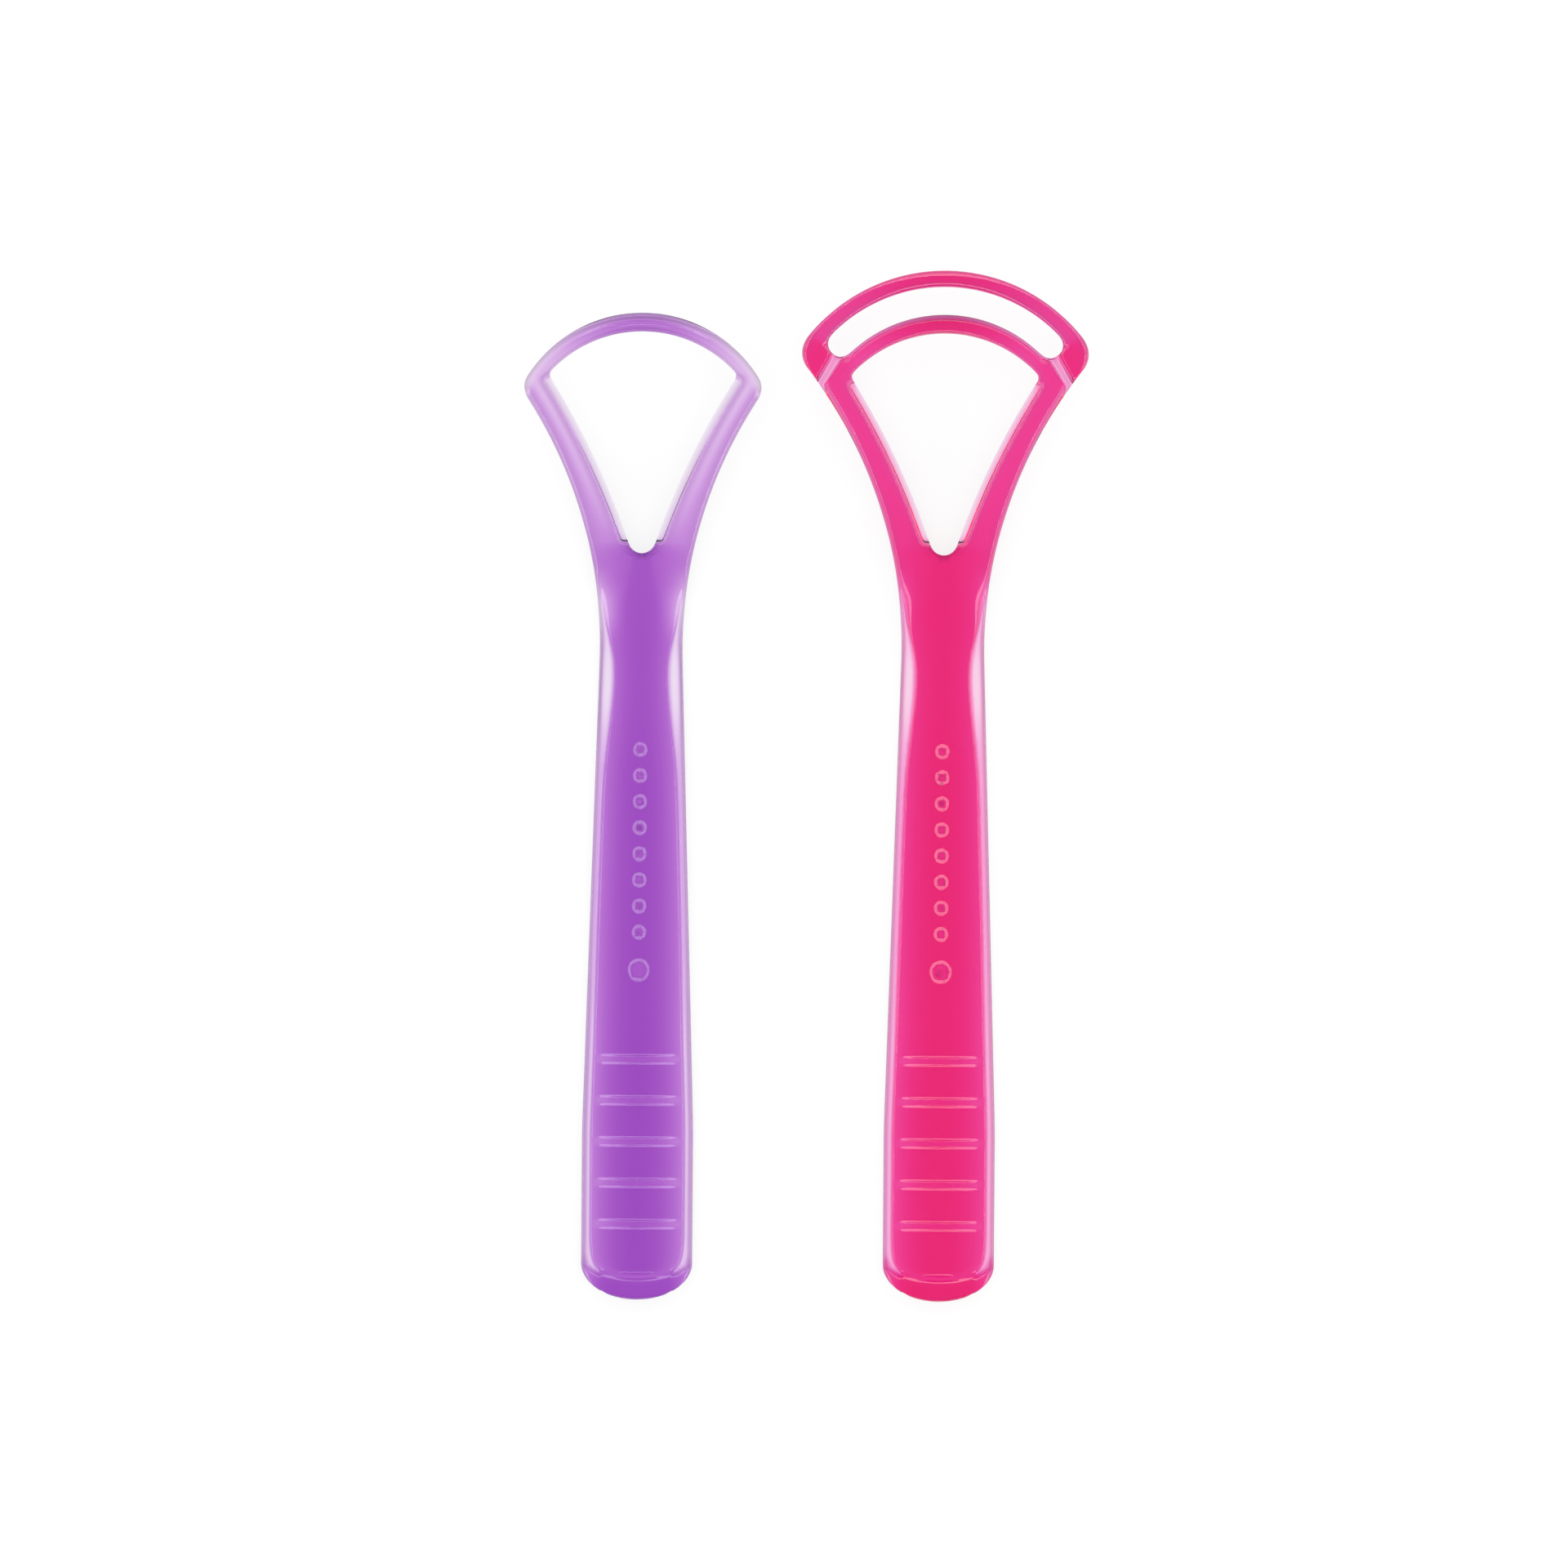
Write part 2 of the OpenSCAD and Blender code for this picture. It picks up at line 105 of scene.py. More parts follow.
class Plan:
    """The lines and circles that the outlines of both scrapers are made of."""

    # Handle: its half widths, the middle of its rounded end, and where it starts to taper
    half_w = 8.1
    neck_half = 6.0
    end_centre_y = 5.229
    taper_y = 25.0
    # Lip: its length on the centre line, and how far it curves up at a distance from there
    lip_l = 2.9
    lip_rise = 0.9
    lip_rise_x = 6
    # Raised panel: its pinched waist, and the flange that it leaves beside it
    waist_y = 91.0
    waist_half = 3.95
    pinch_low = 17.0
    pinch_high = 9.9
    flange_w = 1.2
    arm_edge_w = 0.6
    # Where the neck starts to flare, and the upward bend that starts there
    flare_y = 95.0
    tilt = math.radians(8)
    bend_r = 60.0
    # Window between the arms: its bottom, bowed sides, top corners and top
    crotch_y = 108.6
    crotch_r = 2.0
    side_r = 112.0
    corner_r = 1.0
    top_corner_a = 41.4
    top_r = 18.4
    top_c = Vector((0, 122.45))
    # Blade between the arms, the angle at which the arms meet it, and the head's corners
    blade_r = 19.9
    blade_c = Vector((0, 123.7))
    head_a = 26.7
    head_corner_r = 2.8
    # Outer blade, its corners, and the round ends of the gap between the blades
    outer_c = Vector((0, 124.5))
    outer_r = 25.5
    outer_inner_r = 23.1
    outer_corner_r = 3.2
    gap_end_c = Vector((15.2632, 139.239))
    gap_end_r = 1.88167

    def __init__(self):
        head_point = on_circle(self.blade_c, self.blade_r, self.head_a)
        reach = head_point.x - self.neck_half
        self.head_point = head_point
        self.flare_r = (reach ** 2 + (head_point.y - self.flare_y) ** 2) / (2 * reach)
        self.flare_c = Vector((self.neck_half + self.flare_r, self.flare_y))
        self.crotch_c = Vector((0, self.crotch_y + self.crotch_r))
        top_corner = on_circle(self.top_c, self.top_r, self.top_corner_a)
        self.side_c = crossing(self.crotch_c, self.side_r + self.crotch_r, top_corner, self.side_r)
        self.corner_c = crossing(self.side_c, self.side_r + self.corner_r,
                                 self.top_c, self.top_r - self.corner_r)
        self.head_corner_c = crossing(self.flare_c, self.flare_r + self.head_corner_r,
                                      self.blade_c, self.blade_r - self.head_corner_r)
        self.outer_corner_c = crossing(self.flare_c, self.flare_r + self.outer_corner_r,
                                       self.outer_c, self.outer_r - self.outer_corner_r)

    def half(self, y):
        """Half the width of the handle."""
        if y < self.end_centre_y:
            return self.half_w * leg(1, 1 - y / self.end_centre_y)
        share = clamp((y - self.taper_y) / (self.flare_y - self.taper_y))
        return blend(self.half_w, self.neck_half, share)

    def outer(self, y):
        """Outer edge of the handle, neck and arm at a height."""
        if y < self.flare_y:
            return Vector((self.half(y), y))
        return Vector((self.flare_c.x - leg(self.flare_r, y - self.flare_y), y))

    def inset(self, y):
        """How far the side of the raised panel lies inside the outline."""
        waist = self.half(self.waist_y) - self.waist_half
        if y < self.waist_y:
            return blend(self.flange_w, waist, bell((self.waist_y - y) / self.pinch_low))
        return blend(self.arm_edge_w, waist, bell((y - self.waist_y) / self.pinch_high))

    def lift(self, y):
        """Height of the back: the head bends up from the handle."""
        bend_end = self.flare_y + self.bend_r * math.sin(self.tilt)
        if y < self.flare_y:
            return 0.0
        if y < bend_end:
            return self.bend_r - leg(self.bend_r, y - self.flare_y)
        return self.bend_r * (1 - math.cos(self.tilt)) + (y - bend_end) * math.tan(self.tilt)

    def tip(self, x):
        """Outline of the rounded end at a distance from the centre line."""
        return self.end_centre_y * (1 - leg(1, x / self.half_w))

    def lip(self, x):
        """The curved line where the lip ends and the groove round the panel begins."""
        return self.lip_l + self.lip_rise * (x / self.lip_rise_x) ** 2


PLAN = Plan()
# Share of the lifted head's thickness that lies below its back
BELLY_SHARE = 0.25
# Sunk dots: the lowest of the column and their spacing, and the larger one below them
DOT_Y = 53.5
DOT_PITCH = 3.8
DOT_R = 1.1
BIG_DOT_Y = 48.0
BIG_DOT_R = 1.7
DOT_SIDES = 64
# Wall of a sunk dot, step by step: share of its depth, and distance in from its rim
DOT_PROFILE = ((0.8, 0.48), (0.95, 0.6), (1, 0.72), (1, 0.8))
# Grip grooves: the lowest one and their spacing
GROOVE_Y = 11.0
GROOVE_PITCH = 6.0
# Distance from a groove's middle, and share of its depth there
GROOVE_PROFILE = ((-1.05, 0), (-0.8, 0), (-0.36, 1), (0, 1), (0.36, 1), (0.8, 0), (1.05, 0))

# Thickness across a row, from its outer to its inner edge. "neck" holds the most that its four
# rows have at their outer edge, and how steeply that rises inwards.
SINGLE_TOPS = {
    "neck": (0.6, 0.35, 0.9, 1.2, 0.66),
    "crotch": (0.8, 1.3, 1.7, 1.95, 2.15, 2.4, 2.65, 2.85, 3.0, 3.15, 3.2, 3.1),
    "arm_root": (0.8, 1.2, 1.5, 1.7, 1.8, 1.8, 1.8, 1.85, 1.9, 1.9, 2.0, 1.9),
    "arm_low": (0.7, 1.0, 1.3, 1.5, 1.7, 1.65, 1.35, 1.45, 1.25, 0.35, 0.3, 0.2),
    "arm_mid": (0.7, 1.05, 1.3, 1.5, 1.6, 1.35, 0.95, 1.35, 1.25, 0.4, 0.25, 0.15),
    "arm_top": (0.5, 0.8, 1.05, 1.35, 1.5, 1.15, 0.7, 1.15, 1.15, 0.45, 0.3, 0.2),
    "corner": (0.35, 0.4, 0.45, 0.5, 0.6, 0.75, 0.95, 1.2, 1.3, 1.3, 1.25, 0.95),
    "blade_end": (0.4, 0.5, 0.5, 0.6, 0.75, 0.85, 0.95, 0.95, 0.95, 0.95, 0.9, 0.6),
    "crown": (0.7, 1.2, 1.7, 1.9, 1.5, 2.3, 2.6, 2.2, 2.3, 2.5, 2.4, 2.0),
}
DOUBLE_TOPS = {
    "neck": (1.0, 0.4, 1.0, 1.2, 1.3),
    "crotch": (0.9, 1.6, 2.1, 2.4, 2.6, 2.9, 3.1, 3.2, 3.3, 3.3, 3.3, 3.2),
    "arm_root": (0.9, 1.5, 2.0, 2.3, 2.5, 2.6, 2.7, 2.7, 2.7, 2.7, 2.7, 2.5),
    "arm_low": (0.8, 1.3, 1.7, 2.05, 2.4, 2.6, 2.6, 2.3, 1.9, 0.3, 0.25, 0.25),
    "arm_mid": (0.9, 1.4, 1.85, 2.1, 2.3, 2.5, 2.45, 2.2, 1.95, 0.5, 0.3, 0.25),
    "arm_top": (0.5, 0.9, 1.3, 1.75, 2.2, 2.5, 2.45, 2.3, 2.0, 0.6, 0.35, 0.25),
    "corner": (1.2, 0.1, 1.9, 2.3, 2.4, 2.5, 2.5, 2.4, 2.3, 2.2, 2.1, 1.6),
    "blade_end": (0.7, 0.9, 1.1, 1.2, 1.9, 2.3, 2.3, 2.2, 2.1, 2.0, 1.9, 1.4),
    "crown": (0.8, 1.1, 1.2, 1.2, 2.9, 3.4, 3.4, 3.3, 3.2, 3.0, 2.7, 1.9),
}
OUTER_TOPS = {
    "edge": (1.8, 2.2, 2.4, 2.4, 2.4, 2.3, 2.1, 0.1, 1.2),
    "pad": (1.2, 2.0, 2.7, 3.1, 3.2, 3.0, 2.4, 0.1, 1.2),
    "gap_end": (1.3, 1.8, 2.1, 2.3, 2.3, 2.2, 2.0, 1.8, 1.4),
    "crown": (1.4, 2.1, 2.5, 2.9, 3.2, 3.1, 2.9, 2.6, 1.9),
}
# Painted shade along a row, from its outer to its inner edge: how far its base colour darkens, in
# place of the dark lines that refraction gives at clear edges and beside each arm's bright middle
PAINTED_EDGE_SHADES = {
    "handle": (1, 0.6, 0, 0, 0, 0, 0, 0, 0, 0, 0, 0),
    "crotch": (0.6, 0.55, 0.4, 0.2, 0.1, 0, 0, 0, 0, 0, 0.9, 1),
    "arm": (0.6, 0.5, 0.4, 0.3, 0.15, 0, 0, 0.15, 0.4, 0.3, 0.1, 0.05),
    "groove": (0.1, 0.05, 0.3, 0.1, 0, 0, 0, 0, 0.1, 0.2, 0.25, 0.3),
    "corner": (0.7, 0.5, 0.3, 0.1, 0, 0, 0, 0, 0.1, 0.3, 0.5, 0.6),
    "crown": (1, 1, 1, 0.6, 0.1, 0.1, 0.15, 0.1, 0.1, 0.3, 0.6, 0.8),
    "pad": (0.5, 0.45, 0.2, 0, 0, 0, 0.35, 0.05, 0.1),
    "outer": (0.5, 0.45, 0.25, 0.1, 0.1, 0.2, 0.45, 0.6, 0.6),
}
# Steps along an arm, round a corner of the head and along the blades
ARM_STEPS = 9
HEAD_CORNER_STEPS = 4
BLADE_STEPS = 10
OUTER_BLADE_STEPS = 10
# Points in a row of the first grid, which is all but the shoulders and the outer blade
COLUMNS = 12
# Where the points of a row lie, as shares of its width or, in the rounded end, of its half width
BLADE_SHARES = (0, 0.08, 0.17, 0.27, 0.37, 0.47, 0.57, 0.67, 0.76, 0.85, 0.92, 1)
STEPPED_BLADE_SHARES = (0, 0.08, 0.16, 0.23, 0.28, 0.34, 0.45, 0.59, 0.73, 0.85, 0.93, 1)
OUTER_BLADE_SHARES = (0, 0.09, 0.2, 0.33, 0.48, 0.63, 0.77, 0.9, 1)
TIP_SHARES = (1, 0.955, 0.86, 0.72, 0.66, 0.6, 0.53, 0.42, 0.31, 0.2, 0.1, 0)
PANEL_SHARES = (0.8, 0.62, 0.45, 0.3, 0.15, 0)
# Points of a row whose two sides keep their widths: distances from its outer edge, shares of the
# middle, the middle's margin from the inner edge, and distances from that edge
ARM_POINTS = ((0, 0.2, 0.4, 0.6, 0.85), (0.33, 0.67), 1.6, (1.6, 1.25, 1.02, 0.25, 0))
GROOVE_POINTS = ((0, 0.6, 0.82, 1.05, 1.3), (0.25, 0.5, 0.75), 0.9, (0.7, 0.45, 0.22, 0))
PAD_POINTS = ((0, 0.25, 0.6), (0.33, 0.67), 1.1, (1.1, 0.82, 0.62, 0))
# Bead along the handle's outline, and its foot: widths, and their largest shares of the flange
BEAD_W = 0.28
BEAD_W_SHARE = 0.3
BEAD_FOOT_W = 0.6
BEAD_FOOT_W_SHARE = 0.6
# Edge of the panel: how far its side starts before its line, and ends and rounds past it
EDGE_BEFORE = 0.12
EDGE_AFTER = 0.08
EDGE_ROUND = 0.4
# How much lower than the bead the outline and the foot are, and how much higher than a wide
# flange its foot is
OUTLINE_DROP = 0.35
FOOT_DROP = 0.1
FOOT_RISE = 0.2
# Widths of the flange between which the foot comes down to it
NARROW_FLANGE_W = 1.3
WIDE_FLANGE_W = 2.0
# Thickness of the handle at the grip, half way up and at the waist: middle and sides of the
# panel, flange, and bead
SINGLE_HANDLE = {"centre": (3.6, 3.55, 3.3), "side": (1.85, 2.1, 2.3),
                 "flange": (0.35, 1.25, 0.2), "bead": (1.15, 1.2, 1.1)}
DOUBLE_HANDLE = {"centre": (3.5, 3.5, 3.4), "side": (2.1, 2.3, 2.6),
                 "flange": (0.35, 0.8, 0.12), "bead": (0.85, 0.85, 0.8)}
# Where the grip's thickness ends, the middle's starts and ends and the waist's starts
HANDLE_STATIONS = (38, 54, 72, 88)
# Rounded end: share of the way from the outline to the line above the lip, and thickness at
# the row's outer end and along the rest of it
TIP_ROWS = ((0, 2.9, 3.0), (0.1, 3.1, 3.55), (0.35, 3.2, 3.6), (0.7, 3.2, 3.6), (0.93, 3.1, 3.5))
# Angles round the end between which these rows start
TIP_ANGLES = (53.4, 83)
# The end thins out towards its sides: from where, over which run, and by what share
THIN_START_X = 3.5
THIN_RUN = 4.5
THIN_SHARE = 0.6
# Lip: where it ends at the outline, and the rows behind it: distance, width of the flange, and
# thickness over the flange and over the panel
LIP_END_Y = 4.52
LIP_ROWS = ((0.3, 3.1, (1.5, 1.9, 1.9, 1.3), 2.7), (0.7, 2.5, (1.2, 1.6, 1.5, 0.4), 2.9))
# The next rows, where the panel has a share of its own thickness
PANEL_START_ROWS = ((1.05, 2.0, (1.1, 1.5, 1.4, 0.25), 0.95),
                    (1.5, 1.65, (1.05, 1.4, 1.3, 0.2), 1.0))
# Corner of the panel: place, how much of the lip's curve a row has, and width of the flange
PANEL_CORNER_ROWS = ((6.7, 0.75, 1.4), (8.2, 0.3, 1.22))
HANDLE_YS = (39, 47, 56, 65, 73, 77, 80.5, 83.5, 86, 88.5, 91, 93.5, 96)
# Neck: place at the outline and on the centre line, how far the points are shifted to the arms'
# and the thickness to the fork's, and thickness of the flange
NECK_ROWS = ((98.5, 98.8, 0.1, 0.05, 0.2), (101.5, 102.3, 0.35, 0.15, 0.3),
             (103.6, 105.4, 0.7, 0.5, 0.8), (105.4, 107.9, 0.95, 0.9, 1.6))
# Rise of the neck's middle over the fork
NECK_RISE = 0.2
# Fork: place at the outline, and angle round the bottom of the window
FORK_ROWS = ((106.4, 0), (107.8, 28), (109.2, 56), (110.4, 80))
# Arms: where they start and end at the outline, and the part of the window's side they take
ARM_START_Y = 110.9
SINGLE_ARM_END_Y = 130.6
DOUBLE_ARM_END_Y = 132.2
SIDE_START_SHARE = 0.012
SIDE_SHARE = 0.975
# Column at the top of the step down to the ledge, and how far up an arm the tables "arm_low" and
# "arm_mid" hold
STEP_COLUMN = 8
ARM_LOW_SHARE = 0.12
ARM_MID_SHARE = 0.4
# Groove of a shoulder: how far it starts above the point where arm and inner blade would meet,
# the angle at which it meets the round end of the gap, and where its rows lie
SEAM_RISE = 0.62
GAP_MEET_A = -75
SEAM_SHARES = (0, 0.06, 0.3, 0.65, 1)
# End of the gap, beside the inner blade: shares of the way round it, degrees that the rows move
# along the window's top each time, and thickness of their edge at first and at last
INNER_GAP_SHARES = (0.35, 0.7, 1.0)
INNER_GAP_TURN = 1.5
INNER_GAP_TOPS = (1.2, 1.0)
# Beside the outer blade: shares of the way round it, degrees that the outline is ahead, and how
# many times faster the spacing and the thickness become the blade's
OUTER_GAP_SHARES = (0.25, 0.5, 0.75, 1.0)
OUTER_GAP_LEAD = 2
SPACING_PACE = 2
THICKNESS_PACE = 3


def ease(value, start, end):
    """0 up to the start, rising smoothly to 1 at the end."""
    return 1 - bell(max(0.0, (value - start) / (end - start)))


def mix(a, b, share):
    """Blends two lists of numbers."""
    return [blend(p, q, share) for p, q in zip(a, b)]


def between(stations, share):
    """Blends the tables on either side of a share. A station is a share and its table."""
    for (start, first), (end, last) in zip(stations, stations[1:]):
        if share <= end:
            return mix(first, last, (share - start) / (end - start))


def across(outer, inner, setbacks, tops, painted_edge_shades):
    """A row of the cage: points at distances from the outer edge, each with its thickness.

    The last number of a point says how much painted shade darkens its base colour, in place of the
    dark line that refraction gives at a clear edge.
    """
    unit = (inner - outer).normalized()
    row = []
    for setback, top, painted_edge_shade in zip(setbacks, tops, painted_edge_shades):
        point = outer + unit * setback
        row.append((point.x, point.y, top, painted_edge_shade))
    return row


def handle_setbacks(half, inset):
    """Distances from the outline of the bead, the flange, the panel's edge and the panel."""
    panel = half - inset
    bead = [0, min(BEAD_W, BEAD_W_SHARE * inset), min(BEAD_FOOT_W, BEAD_FOOT_W_SHARE * inset)]
    edge = [inset - EDGE_BEFORE * min(1, inset), inset + EDGE_AFTER, inset + EDGE_ROUND]
    return bead + edge + [half - share * panel for share in PANEL_SHARES]


def handle_tops(half, inset, centre, side, flange, bead):
    """Thickness at these distances. The panel falls from its centre to its sides."""
    setbacks = handle_setbacks(half, inset)
    panel = half - inset
    wide = clamp((inset - NARROW_FLANGE_W) / (WIDE_FLANGE_W - NARROW_FLANGE_W))
    foot = blend(bead - FOOT_DROP, flange + FOOT_RISE, wide)
    tops = [bead - OUTLINE_DROP, bead, foot, flange]
    for setback in setbacks[4:]:
        tops.append(centre - (centre - side) * clamp((half - setback) / panel) ** 2)
    return tops


def edged(width, outer, shares, margin, inner):
    """Distances from the outer edge of a row whose two sides keep their widths."""
    middle = width - margin - outer[-1]
    return ([*outer] + [outer[-1] + share * middle for share in shares]
            + [width - setback for setback in inner])


def spread(width, shares):
    """Distances from the outer edge at shares of the width."""
    return [share * width for share in shares]


def tip_rows(p):
    """Rows of the rounded end, from its outline to the line above the lip."""
    rows = []
    for number, (t, edge, middle) in enumerate(TIP_ROWS):
        a = math.radians(blend(*TIP_ANGLES, t))
        outer = Vector((p.half_w * math.sin(a), p.end_centre_y * (1 - math.cos(a))))
        drop = blend(p.tip(outer.x), p.lip(outer.x), t) - outer.y
        row = []
        for i, share in enumerate(TIP_SHARES):
            x = outer.x * share
            thin = 1 - THIN_SHARE * clamp((x - THIN_START_X) / THIN_RUN) ** 2
            top = (edge if i == 0 else middle) * thin
            # Painted shade: full on the outline, half on the next row and column in, none further
            # in
            painted_edge_shade = max(0, 1 - 0.5 * min(number, i))
            row.append((x, blend(p.tip(x), p.lip(x), t) - drop, top, painted_edge_shade))
        rows.append(row)
    return rows


def handle_row(p, y, section, curve=0.0, inset=None, tops=None, sink=0.0):
    """A row across the handle, with a share of the lip's curve and its panel sunk by a depth."""
    outer = p.outer(y)
    inset = p.inset(y) if inset is None else inset
    if tops is None:
        grip_end, middle_start, middle_end, waist_start = HANDLE_STATIONS
        to_middle = ease(y, grip_end, middle_start)
        to_waist = ease(y, middle_end, waist_start)
        heights = {name: blend(blend(grip, middle, to_middle), waist, to_waist)
                   for name, (grip, middle, waist) in section.items()}
        tops = handle_tops(outer.x, inset, **heights)
    row = across(outer, Vector((0, y)), handle_setbacks(outer.x, inset), tops, PAINTED_EDGE_SHADES["handle"])
    drop = p.lip(outer.x)
    panel_column = COLUMNS - len(PANEL_SHARES)
    return [(x, y + (p.lip(x) - drop) * curve, top - (sink if i >= panel_column else 0), painted_edge_shade)
            for i, (x, _, top, painted_edge_shade) in enumerate(row)]


def handle_rows(p, section, groove_count, relief_depth):
    """Rows of the handle, from its rounded end over the lip and the grooves to the waist."""
    rows = tip_rows(p)
    for distance, inset, flange_tops, panel_top in LIP_ROWS:
        tops = [*flange_tops] + [panel_top] * (COLUMNS - len(flange_tops))
        rows.append(handle_row(p, LIP_END_Y + distance, section, 1, inset, tops))
    grip = {name: thicknesses[0] for name, thicknesses in section.items()}
    for distance, inset, flange_tops, share in PANEL_START_ROWS:
        y = LIP_END_Y + distance
        own_tops = handle_tops(p.half(y), inset, **grip)
        tops = [*flange_tops] + [top * share for top in own_tops[len(flange_tops):]]
        rows.append(handle_row(p, y, section, 1, inset, tops))
    for y, curve, inset in PANEL_CORNER_ROWS:
        rows.append(handle_row(p, y, section, curve, inset))
    for i in range(groove_count):
        y = GROOVE_Y + GROOVE_PITCH * i
        for offset, share in GROOVE_PROFILE:
            rows.append(handle_row(p, y + offset, section, sink=share * relief_depth))
        if i < groove_count - 1:
            rows.append(handle_row(p, y + GROOVE_PITCH / 2, section))
    return rows + [handle_row(p, y, section) for y in HANDLE_YS]


def neck_rows(p, tops, section):
    """Rows from the handle's section to the arms', round the bottom of the window."""
    rows = []
    waist = {name: thicknesses[-1] for name, thicknesses in section.items()}
    *edges, slope = tops["neck"]
    for (y, inner_y, shift, rise, flange), edge in zip(NECK_ROWS, edges):
        outer = p.outer(y)
        inner = Vector((0, inner_y))
        inset = p.inset(y)
        fork_top = tops["crotch"][STEP_COLUMN] + NECK_RISE
        heights = dict(waist, flange=flange, bead=max(waist["bead"], flange),
                       centre=blend(waist["centre"], fork_top, shift))
        width = (inner - outer).length
        setbacks = mix(handle_setbacks(outer.x, inset), edged(width, *ARM_POINTS), shift)
        setbacks[-1] = width
        row_tops = mix(handle_tops(outer.x, inset, **heights), tops["crotch"], rise)
        row_tops[-1] = row_tops[-2]
        row_tops = [min(top, edge + slope * setback) for top, setback in zip(row_tops, setbacks)]
        painted_edge_shades = mix(PAINTED_EDGE_SHADES["handle"], PAINTED_EDGE_SHADES["crotch"][:-2] + (0, 0), shift)
        rows.append(across(outer, inner, setbacks, row_tops, painted_edge_shades))
    for y, a in FORK_ROWS:
        outer = p.outer(y)
        inner = on_circle(p.crotch_c, p.crotch_r, a - 90)
        width = (inner - outer).length
        share = a / FORK_ROWS[-1][1]
        row_tops = mix(tops["crotch"], tops["arm_root"], share ** 2)
        painted_edge_shades = mix(PAINTED_EDGE_SHADES["crotch"], PAINTED_EDGE_SHADES["arm"], share / 2)
        rows.append(across(outer, inner, edged(width, *ARM_POINTS), row_tops, painted_edge_shades))
    return rows


def arm_rows(p, tops, outer_end_y):
    """Rows up an arm: the thin ledge along the window starts with a step."""
    rows = []
    start_a = heading(p.side_c, p.crotch_c)
    end_a = heading(p.side_c, p.corner_c)
    foot = tops["arm_root"][:STEP_COLUMN] + tops["arm_low"][STEP_COLUMN:]
    stations = ((0, foot), (ARM_LOW_SHARE, tops["arm_low"]), (ARM_MID_SHARE, tops["arm_mid"]),
                (1, tops["arm_top"]))
    for i in range(ARM_STEPS + 1):
        share = i / ARM_STEPS
        outer = p.outer(blend(ARM_START_Y, outer_end_y, share))
        side_share = SIDE_START_SHARE + SIDE_SHARE * share
        inner = on_circle(p.side_c, p.side_r, blend(start_a, end_a, side_share))
        width = (inner - outer).length
        rows.append(across(outer, inner, edged(width, *ARM_POINTS), between(stations, share),
                           PAINTED_EDGE_SHADES["arm"]))
    return rows


def window_corner(p, share):
    """A point of the window's top corner."""
    start_a = heading(p.corner_c, p.side_c)
    end_a = heading(p.top_c, p.corner_c)
    return on_circle(p.corner_c, p.corner_r, blend(start_a, end_a, share))


def single_head_rows(p, tops):
    """Rows round the corner of the head with one blade, and along its blade."""
    rows = []
    start_a = heading(p.head_corner_c, p.flare_c)
    end_a = heading(p.blade_c, p.head_corner_c)
    stations = ((0, tops["arm_top"]), (0.5, tops["corner"]), (1, tops["blade_end"]))
    for i in range(HEAD_CORNER_STEPS + 1):
        share = i / HEAD_CORNER_STEPS
        outer = on_circle(p.head_corner_c, p.head_corner_r, blend(start_a, end_a, share))
        inner = window_corner(p, share)
        width = (inner - outer).length
        setbacks = mix(edged(width, *ARM_POINTS), spread(width, BLADE_SHARES), share)
        rows.append(across(outer, inner, setbacks, between(stations, share),
                           mix(PAINTED_EDGE_SHADES["arm"], PAINTED_EDGE_SHADES["corner"], share)))
    return rows + blade_rows(p, tops, BLADE_SHARES, end_a, heading(p.top_c, p.corner_c))


def blade_rows(p, tops, shares, outer_a, inner_a):
    """Rows along the curved blade, from these angles of its edges up to its crown."""
    rows = []
    for i in range(1, BLADE_STEPS + 1):
        share = i / BLADE_STEPS
        outer = on_circle(p.blade_c, p.blade_r, blend(outer_a, 90, share))
        inner = on_circle(p.top_c, p.top_r, blend(inner_a, 90, share))
        width = (inner - outer).length
        rise = 1 - bell(share)
        rows.append(across(outer, inner, spread(width, shares),
                           mix(tops["blade_end"], tops["crown"], rise),
                           mix(PAINTED_EDGE_SHADES["corner"], PAINTED_EDGE_SHADES["crown"], rise)))
    return rows


def shoulder_seam(p):
    """Points in the middle of the groove, from the outline to the end of the gap."""
    start = p.outer(p.head_point.y + SEAM_RISE)
    end = on_circle(p.gap_end_c, p.gap_end_r, GAP_MEET_A)
    return [start.lerp(end, share) for share in SEAM_SHARES]


def double_head_rows(p, tops):
    """Rows beside the groove and the end of the gap, and along the inner blade."""
    rows = []
    seam = shoulder_seam(p)
    for i, outer in enumerate(seam):
        inner = window_corner(p, i / len(seam))
        width = (inner - outer).length
        rows.append(across(outer, inner, edged(width, *GROOVE_POINTS), tops["corner"],
                           PAINTED_EDGE_SHADES["groove"]))
    touch_a = heading(p.gap_end_c, p.blade_c)
    inner_a = heading(p.top_c, p.corner_c)
    for share in INNER_GAP_SHARES:
        inner_a += INNER_GAP_TURN
        outer = on_circle(p.gap_end_c, p.gap_end_r, blend(GAP_MEET_A, touch_a, share))
        inner = on_circle(p.top_c, p.top_r, inner_a)
        width = (inner - outer).length
        setbacks = mix(edged(width, *GROOVE_POINTS), spread(width, STEPPED_BLADE_SHARES), share)
        row_tops = mix(tops["corner"], tops["blade_end"], share)
        row_tops[:2] = [blend(*INNER_GAP_TOPS, share)] * 2
        rows.append(across(outer, inner, setbacks, row_tops,
                           mix(PAINTED_EDGE_SHADES["groove"], PAINTED_EDGE_SHADES["corner"], share)))
    first_a = heading(p.blade_c, p.gap_end_c)
    return rows + blade_rows(p, tops, STEPPED_BLADE_SHARES, first_a, inner_a)


